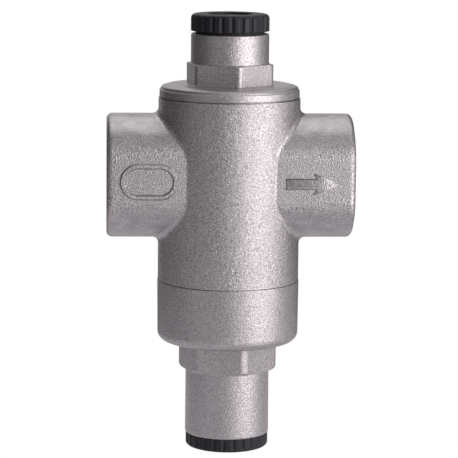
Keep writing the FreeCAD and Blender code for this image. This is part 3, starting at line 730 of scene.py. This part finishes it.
def turned_metal(name, dark, light, roughness):
    """Metal with the fine rings that a lathe leaves."""
    material, nodes, links, shader, place = new_material(name)
    split = nodes.new("ShaderNodeSeparateXYZ")
    links.new(place, split.inputs["Vector"])
    rings = nodes.new("ShaderNodeTexNoise")
    rings.noise_dimensions = "1D"
    rings.inputs["Scale"].default_value = 1 / (0.12 * MM)
    rings.inputs["Detail"].default_value = 2.0
    links.new(split.outputs["Z"], rings.inputs["W"])
    patches = noise(nodes, links, place, 1.6 * MM)
    links.new(tint(nodes, links, patches, dark, light), shader.inputs["Base Color"])
    uneven = spread(nodes, links, rings.outputs["Fac"], roughness - 0.06, roughness + 0.08)
    links.new(uneven, shader.inputs["Roughness"])
    links.new(bump(nodes, links, rings.outputs["Fac"], 0.012 * MM), shader.inputs["Normal"])
    shader.inputs["Metallic"].default_value = 1.0
    return material


def moulded(name, dark, light, roughness, grain_size, grain_depth):
    """Moulded plastic or rubber with a faint grain."""
    material, nodes, links, shader, place = new_material(name)
    grain = noise(nodes, links, place, grain_size, detail=3.0)
    patches = noise(nodes, links, place, 1.8 * MM)
    links.new(tint(nodes, links, patches, dark, light), shader.inputs["Base Color"])
    links.new(spread(nodes, links, grain, roughness - 0.05, roughness + 0.08), shader.inputs["Roughness"])
    links.new(bump(nodes, links, grain, grain_depth), shader.inputs["Normal"])
    return material


MATERIALS = {
    "nickel_casting": nickel_casting(
        "nickel_casting", depth=0.095 * MM, roughness=0.375,
        dark=(0.31, 0.285, 0.292), light=(0.80, 0.748, 0.764)),
    "rough_nickel": nickel_casting(
        "rough_nickel", depth=0.14 * MM, roughness=0.32,
        dark=(0.22, 0.203, 0.208), light=(0.90, 0.842, 0.860)),
    "black_plastic": moulded(
        "black_plastic", dark=(0.007, 0.006, 0.009), light=(0.013, 0.010, 0.018),
        roughness=0.48, grain_size=0.12 * MM, grain_depth=0.006 * MM),
    "black_rubber": moulded(
        "black_rubber", dark=(0.012, 0.012, 0.013), light=(0.02, 0.02, 0.021),
        roughness=0.6, grain_size=0.15 * MM, grain_depth=0.008 * MM),
    "stainless_steel": turned_metal(
        "stainless_steel", dark=(0.55, 0.55, 0.56), light=(0.63, 0.63, 0.63), roughness=0.28),
    "turned_brass": turned_metal(
        "turned_brass", dark=(0.68, 0.48, 0.21), light=(0.78, 0.58, 0.29), roughness=0.27),
    "white_ptfe": moulded(
        "white_ptfe", dark=(0.78, 0.78, 0.74), light=(0.86, 0.86, 0.83),
        roughness=0.45, grain_size=0.2 * MM, grain_depth=0.005 * MM),
    "spring_steel": turned_metal(
        "spring_steel", dark=(0.34, 0.34, 0.36), light=(0.42, 0.42, 0.44), roughness=0.34),
}


def paint(thing, slot):
    thing.data.materials.clear()
    thing.data.materials.append(MATERIALS[slot])


# --- stage ----------------------------------------------------------------------------------------------

LAMP_HEIGHT = -12 * MM
WHITE = (1, 1, 1)
# Name, azimuth and elevation in degrees, distance and size in metres, watts, colour.
LAMPS = (
    ("key", 55, 4, 0.6, (0.37, 0.62), 2.25, (1.0, 0.985, 1.0)),
    ("front", 27, 8, 0.45, (0.31, 0.42), 0.36, WHITE),
    ("front_high", 18, 50, 0.7, (0.65, 0.5), 0.62, WHITE),
    ("left", -45, 4, 0.7, (0.5, 0.7), 0.28, WHITE),
    ("top", 170, 66, 0.6, (0.8, 0.6), 1.3, WHITE),
    ("right", 112, 10, 0.7, (0.45, 0.6), 0.36, WHITE),
    ("back", -172, 12, 0.7, (0.5, 0.6), 0.42, WHITE),
)


def area_light(name, place, target, size, watts, colour):
    lamp = bpy.data.lights.new(name, "AREA")
    lamp.shape = "RECTANGLE"
    lamp.size, lamp.size_y = size
    lamp.energy = watts
    lamp.color = colour
    thing = bpy.data.objects.new(name, lamp)
    thing.location = place
    thing.rotation_euler = (Vector(target) - Vector(place)).to_track_quat("-Z", "Y").to_euler()
    bpy.context.scene.collection.objects.link(thing)


def around_spindle(azimuth, elevation, distance, height):
    """A place seen from this height on the spindle, at this azimuth (0 is the front, 90 the outlet side)."""
    a = math.radians(azimuth)
    e = math.radians(elevation)
    return Vector((SPINDLE + distance * math.sin(a) * math.cos(e),
                   -distance * math.cos(a) * math.cos(e),
                   height + distance * math.sin(e)))


def make_camera():
    """A long lens a little above the ports' height and a little to the inlet side of the front."""
    azimuth = math.radians(-3.05)
    elevation = math.radians(9.0)
    roll = math.radians(0.54)
    target = Vector((SPINDLE + 0.15 * MM, 0, -11.8 * MM))
    distance = 0.4998
    back = Vector((math.sin(azimuth) * math.cos(elevation),
                   -math.cos(azimuth) * math.cos(elevation),
                   math.sin(elevation)))
    level = Vector((math.cos(azimuth), math.sin(azimuth), 0))
    up = back.cross(level)
    right = math.cos(roll) * level + math.sin(roll) * up
    up = back.cross(right)
    lens = bpy.data.cameras.new("camera")
    lens.sensor_width = 36
    lens.lens = 181.9
    lens.clip_start = 0.01
    lens.clip_end = 10
    camera = bpy.data.objects.new("camera", lens)
    camera.matrix_world = Matrix((
        (right.x, up.x, back.x, target.x + back.x * distance),
        (right.y, up.y, back.y, target.y + back.y * distance),
        (right.z, up.z, back.z, target.z + back.z * distance),
        (0, 0, 0, 1),
    ))
    bpy.context.scene.collection.objects.link(camera)
    bpy.context.scene.camera = camera


def make_stage():
    """A white surround, soft studio lights, and a glow from below that the camera doesn't see."""
    world = bpy.data.worlds.new("surround")
    world.use_nodes = True
    nodes = world.node_tree.nodes
    links = world.node_tree.links
    seen = nodes["Background"]
    seen.inputs["Color"].default_value = (1, 1, 1, 1)
    felt = nodes.new("ShaderNodeBackground")
    felt.inputs["Color"].default_value = (0.75, 0.74, 0.76, 1)
    felt.inputs["Strength"].default_value = 0.14
    path = nodes.new("ShaderNodeLightPath")
    choose = nodes.new("ShaderNodeMixShader")
    links.new(path.outputs["Is Camera Ray"], choose.inputs["Fac"])
    links.new(felt.outputs["Background"], choose.inputs[1])
    links.new(seen.outputs["Background"], choose.inputs[2])
    links.new(choose.outputs["Shader"], nodes["World Output"].inputs["Surface"])
    bpy.context.scene.world = world

    middle = (SPINDLE, 0, LAMP_HEIGHT)
    for name, azimuth, elevation, distance, size, watts, colour in LAMPS:
        place = around_spindle(azimuth, elevation, distance, LAMP_HEIGHT)
        area_light(name, place, middle, size, watts, colour)

    side, front, behind, level = 0.13, -0.16, 0.10, CAP_BOTTOM - 0.002
    table = mesh_object("table", [
        (SPINDLE - side, front, level), (SPINDLE + side, front, level),
        (SPINDLE + side, behind, level), (SPINDLE - side, behind, level),
    ], [(0, 1, 2, 3)])
    glow = bpy.data.materials.new("table")
    glow.use_nodes = True
    lit = glow.node_tree.nodes["Principled BSDF"]
    lit.inputs["Base Color"].default_value = (0, 0, 0, 1)
    lit.inputs["Emission Color"].default_value = (0.97, 0.95, 1, 1)
    lit.inputs["Emission Strength"].default_value = 0.5
    table.data.materials.append(glow)
    table.visible_camera = False
    table.visible_shadow = False


make_body()
make_bonnet()
make_housing()
make_gauge_plug()
make_adjuster_cap()
make_screw()
make_spring()
for entry in frame["record"]["subparts"]:
    paint(frame["nodes"][entry["node"]], entry["material_slot"])
make_camera()
make_stage()
bpy.context.scene.view_settings.view_transform = "Standard"
